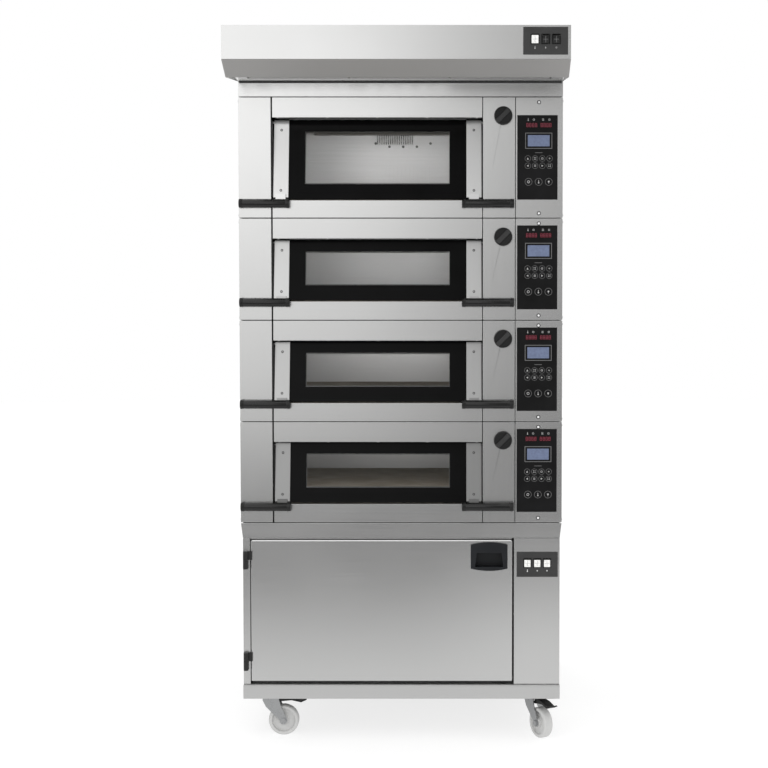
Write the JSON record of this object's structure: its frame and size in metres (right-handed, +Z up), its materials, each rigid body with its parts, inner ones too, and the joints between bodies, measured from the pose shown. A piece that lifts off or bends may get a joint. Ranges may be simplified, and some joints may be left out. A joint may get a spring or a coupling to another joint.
{
  "type": "bakery deck oven stack on proofing cabinet",
  "caption": "Bakery oven stack: deck ovens with tilting glass doors on a castered proofing cabinet, under an overhanging extraction hood.",
  "frame": {"origin": "on the floor, at the centre of the bounding box seen from above", "axes": "+X to the user's right, +Y to the back of the stack, +Z up; the doors face -Y"},
  "size_m": [1.05, 1.5226, 2.332],
  "materials": {
    "brushed_panel": "brushed, horizontal grain",
    "inner_steel": "mill finish",
    "zinc_steel": "bright zinc plated",
    "black_plastic": "fine texture",
    "panel_plastic": "smooth membrane",
    "oven_glass": "dark tinted, black edge",
    "grey_wheel": "moulded nylon",
    "red_seal": "moulded",
    "rubber_seal": "soft",
    "white_rocker": "lit when on",
    "hearth_stone": "cast, porous",
    "element_steel": "oxidised"
  },
  "bodies": {
    "oven_stack": {"base_frame": "brushed_panel", "caster_plates": "zinc_steel", "caster_seals": "red_seal", "supply_gland": "black_plastic", "prover_casing": "brushed_panel", "prover_liner": "inner_steel", "prover_tray_runners": "inner_steel", "prover_heater": "element_steel", "prover_water_pan": "inner_steel", "prover_hinge_brackets": "black_plastic", "deck1_casing": "brushed_panel", "deck2_casing": "brushed_panel", "deck3_casing": "brushed_panel", "deck4_casing": "brushed_panel", "deck_keypads": "panel_plastic", "oven_chambers": "inner_steel", "hearth_stones": "hearth_stone", "oven_elements": "element_steel", "flue_duct": "inner_steel", "hood_canopy": "brushed_panel", "hood_filter": "inner_steel", "switch_panels": "panel_plastic", "casing_screws": "zinc_steel"},
    "prover_door": {"prover_door_panel": "brushed_panel", "prover_door_liner": "inner_steel", "prover_door_gasket": "rubber_seal", "prover_door_handle": "black_plastic", "prover_door_hinges": "black_plastic"},
    "deck1_door": {"deck1_door_frame": "brushed_panel", "deck1_door_glass": "oven_glass", "deck1_door_grips": "black_plastic"},
    "deck1_vent": {"deck1_vent_knob": "black_plastic"},
    "deck2_door": {"deck2_door_frame": "brushed_panel", "deck2_door_glass": "oven_glass", "deck2_door_grips": "black_plastic"},
    "deck2_vent": {"deck2_vent_knob": "black_plastic"},
    "deck3_door": {"deck3_door_frame": "brushed_panel", "deck3_door_glass": "oven_glass", "deck3_door_grips": "black_plastic"},
    "deck3_vent": {"deck3_vent_knob": "black_plastic"},
    "deck4_door": {"deck4_door_frame": "brushed_panel", "deck4_door_glass": "oven_glass", "deck4_door_grips": "black_plastic"},
    "deck4_vent": {"deck4_vent_knob": "black_plastic"},
    "prover_rocker_1": {"prover_switch_1": "white_rocker"},
    "prover_rocker_2": {"prover_switch_2": "white_rocker"},
    "prover_rocker_3": {"prover_switch_3": "white_rocker"},
    "hood_rocker_1": {"hood_switch_1": "white_rocker"},
    "hood_rocker_2": {"hood_switch_2": "panel_plastic"},
    "hood_rocker_3": {"hood_switch_3": "panel_plastic"},
    "caster_swivel_front_left": {"caster_fork_front_left": "zinc_steel"},
    "caster_roller_front_left": {"caster_wheel_front_left": "grey_wheel"},
    "caster_swivel_front_right": {"caster_fork_front_right": "zinc_steel"},
    "caster_roller_front_right": {"caster_wheel_front_right": "grey_wheel"},
    "caster_swivel_rear_left": {"caster_fork_rear_left": "zinc_steel"},
    "caster_roller_rear_left": {"caster_wheel_rear_left": "grey_wheel"},
    "caster_swivel_rear_right": {"caster_fork_rear_right": "zinc_steel"},
    "caster_roller_rear_right": {"caster_wheel_rear_right": "grey_wheel"},
    "caster_brake_front_left": {"brake_pedal_front_left": "black_plastic"},
    "caster_brake_front_right": {"brake_pedal_front_right": "black_plastic"}
  },
  "joints": [
    {"name": "deck1_door_swing", "type": "hinge", "parent": "oven_stack", "child": "deck1_door", "pos_m": [0, -0.33559, 0.97], "axis": [-1, 0, 0], "range_deg": [0, 75]},
    {"name": "deck2_door_swing", "type": "hinge", "parent": "oven_stack", "child": "deck2_door", "pos_m": [0, -0.33559, 1.3], "axis": [-1, 0, 0], "range_deg": [0, 75]},
    {"name": "deck3_door_swing", "type": "hinge", "parent": "oven_stack", "child": "deck3_door", "pos_m": [0, -0.33559, 1.63], "axis": [-1, 0, 0], "range_deg": [0, 75]},
    {"name": "deck4_door_swing", "type": "hinge", "parent": "oven_stack", "child": "deck4_door", "pos_m": [0, -0.32456, 2.019], "axis": [-1, 0, 0], "range_deg": [0, 75]},
    {"name": "deck1_vent_turn", "type": "hinge", "parent": "oven_stack", "child": "deck1_vent", "pos_m": [0.3308, -0.3767, 0.988], "axis": [0, 1, 0], "range_deg": [0, 90]},
    {"name": "deck2_vent_turn", "type": "hinge", "parent": "oven_stack", "child": "deck2_vent", "pos_m": [0.3308, -0.3767, 1.318], "axis": [0, 1, 0], "range_deg": [0, 90]},
    {"name": "deck3_vent_turn", "type": "hinge", "parent": "oven_stack", "child": "deck3_vent", "pos_m": [0.3308, -0.3767, 1.648], "axis": [0, 1, 0], "range_deg": [0, 90]},
    {"name": "deck4_vent_turn", "type": "hinge", "parent": "oven_stack", "child": "deck4_vent", "pos_m": [0.3308, -0.3767, 2.037], "axis": [0, 1, 0], "range_deg": [0, 90]},
    {"name": "prover_door_swing", "type": "hinge", "parent": "oven_stack", "child": "prover_door", "pos_m": [-0.508, -0.3857, 0.262], "axis": [0, 0, -1], "range_deg": [0, 110]},
    {"name": "prover_rocker_1_tilt", "type": "hinge", "parent": "oven_stack", "child": "prover_rocker_1", "pos_m": [0.4115, -0.3757, 0.586], "axis": [-1, 0, 0], "range_deg": [0, 16]},
    {"name": "prover_rocker_2_tilt", "type": "hinge", "parent": "oven_stack", "child": "prover_rocker_2", "pos_m": [0.4435, -0.3757, 0.586], "axis": [-1, 0, 0], "range_deg": [0, 16]},
    {"name": "prover_rocker_3_tilt", "type": "hinge", "parent": "oven_stack", "child": "prover_rocker_3", "pos_m": [0.4755, -0.3757, 0.586], "axis": [-1, 0, 0], "range_deg": [0, 16]},
    {"name": "hood_rocker_1_tilt", "type": "hinge", "parent": "oven_stack", "child": "hood_rocker_1", "pos_m": [0.415, -0.7517, 2.23], "axis": [-1, 0, 0], "range_deg": [0, 16]},
    {"name": "hood_rocker_2_tilt", "type": "hinge", "parent": "oven_stack", "child": "hood_rocker_2", "pos_m": [0.447, -0.7517, 2.23], "axis": [-1, 0, 0], "range_deg": [0, 16]},
    {"name": "hood_rocker_3_tilt", "type": "hinge", "parent": "oven_stack", "child": "hood_rocker_3", "pos_m": [0.479, -0.7517, 2.23], "axis": [-1, 0, 0], "range_deg": [0, 16]},
    {"name": "caster_swivel_front_left_turn", "type": "hinge", "parent": "oven_stack", "child": "caster_swivel_front_left", "pos_m": [-0.437, -0.3047, 0.128], "axis": [0, 0, 1], "continuous": true},
    {"name": "caster_swivel_front_right_turn", "type": "hinge", "parent": "oven_stack", "child": "caster_swivel_front_right", "pos_m": [0.437, -0.3047, 0.128], "axis": [0, 0, 1], "continuous": true},
    {"name": "caster_swivel_rear_left_turn", "type": "hinge", "parent": "oven_stack", "child": "caster_swivel_rear_left", "pos_m": [-0.437, 0.6613, 0.128], "axis": [0, 0, 1], "continuous": true},
    {"name": "caster_swivel_rear_right_turn", "type": "hinge", "parent": "oven_stack", "child": "caster_swivel_rear_right", "pos_m": [0.437, 0.6613, 0.128], "axis": [0, 0, 1], "continuous": true},
    {"name": "caster_roller_front_left_spin", "type": "hinge", "parent": "caster_swivel_front_left", "child": "caster_roller_front_left", "pos_m": [-0.393, -0.3047, 0.05], "axis": [0, 1, 0], "continuous": true},
    {"name": "caster_roller_front_right_spin", "type": "hinge", "parent": "caster_swivel_front_right", "child": "caster_roller_front_right", "pos_m": [0.459, -0.34281, 0.05], "axis": [0.866, 0.5, 0], "continuous": true},
    {"name": "caster_roller_rear_left_spin", "type": "hinge", "parent": "caster_swivel_rear_left", "child": "caster_roller_rear_left", "pos_m": [-0.39565, 0.67635, 0.05], "axis": [-0.342, 0.9397, 0], "continuous": true},
    {"name": "caster_roller_rear_right_spin", "type": "hinge", "parent": "caster_swivel_rear_right", "child": "caster_roller_rear_right", "pos_m": [0.47304, 0.68654, 0.05], "axis": [-0.5736, 0.8192, 0], "continuous": true},
    {"name": "caster_brake_front_left_press", "type": "hinge", "parent": "caster_swivel_front_left", "child": "caster_brake_front_left", "pos_m": [-0.407, -0.3047, 0.1165], "axis": [0, 1, 0], "range_deg": [0, 12]},
    {"name": "caster_brake_front_right_press", "type": "hinge", "parent": "caster_swivel_front_right", "child": "caster_brake_front_right", "pos_m": [0.452, -0.33068, 0.1165], "axis": [0.866, 0.5, 0], "range_deg": [0, 12]}
  ]
}
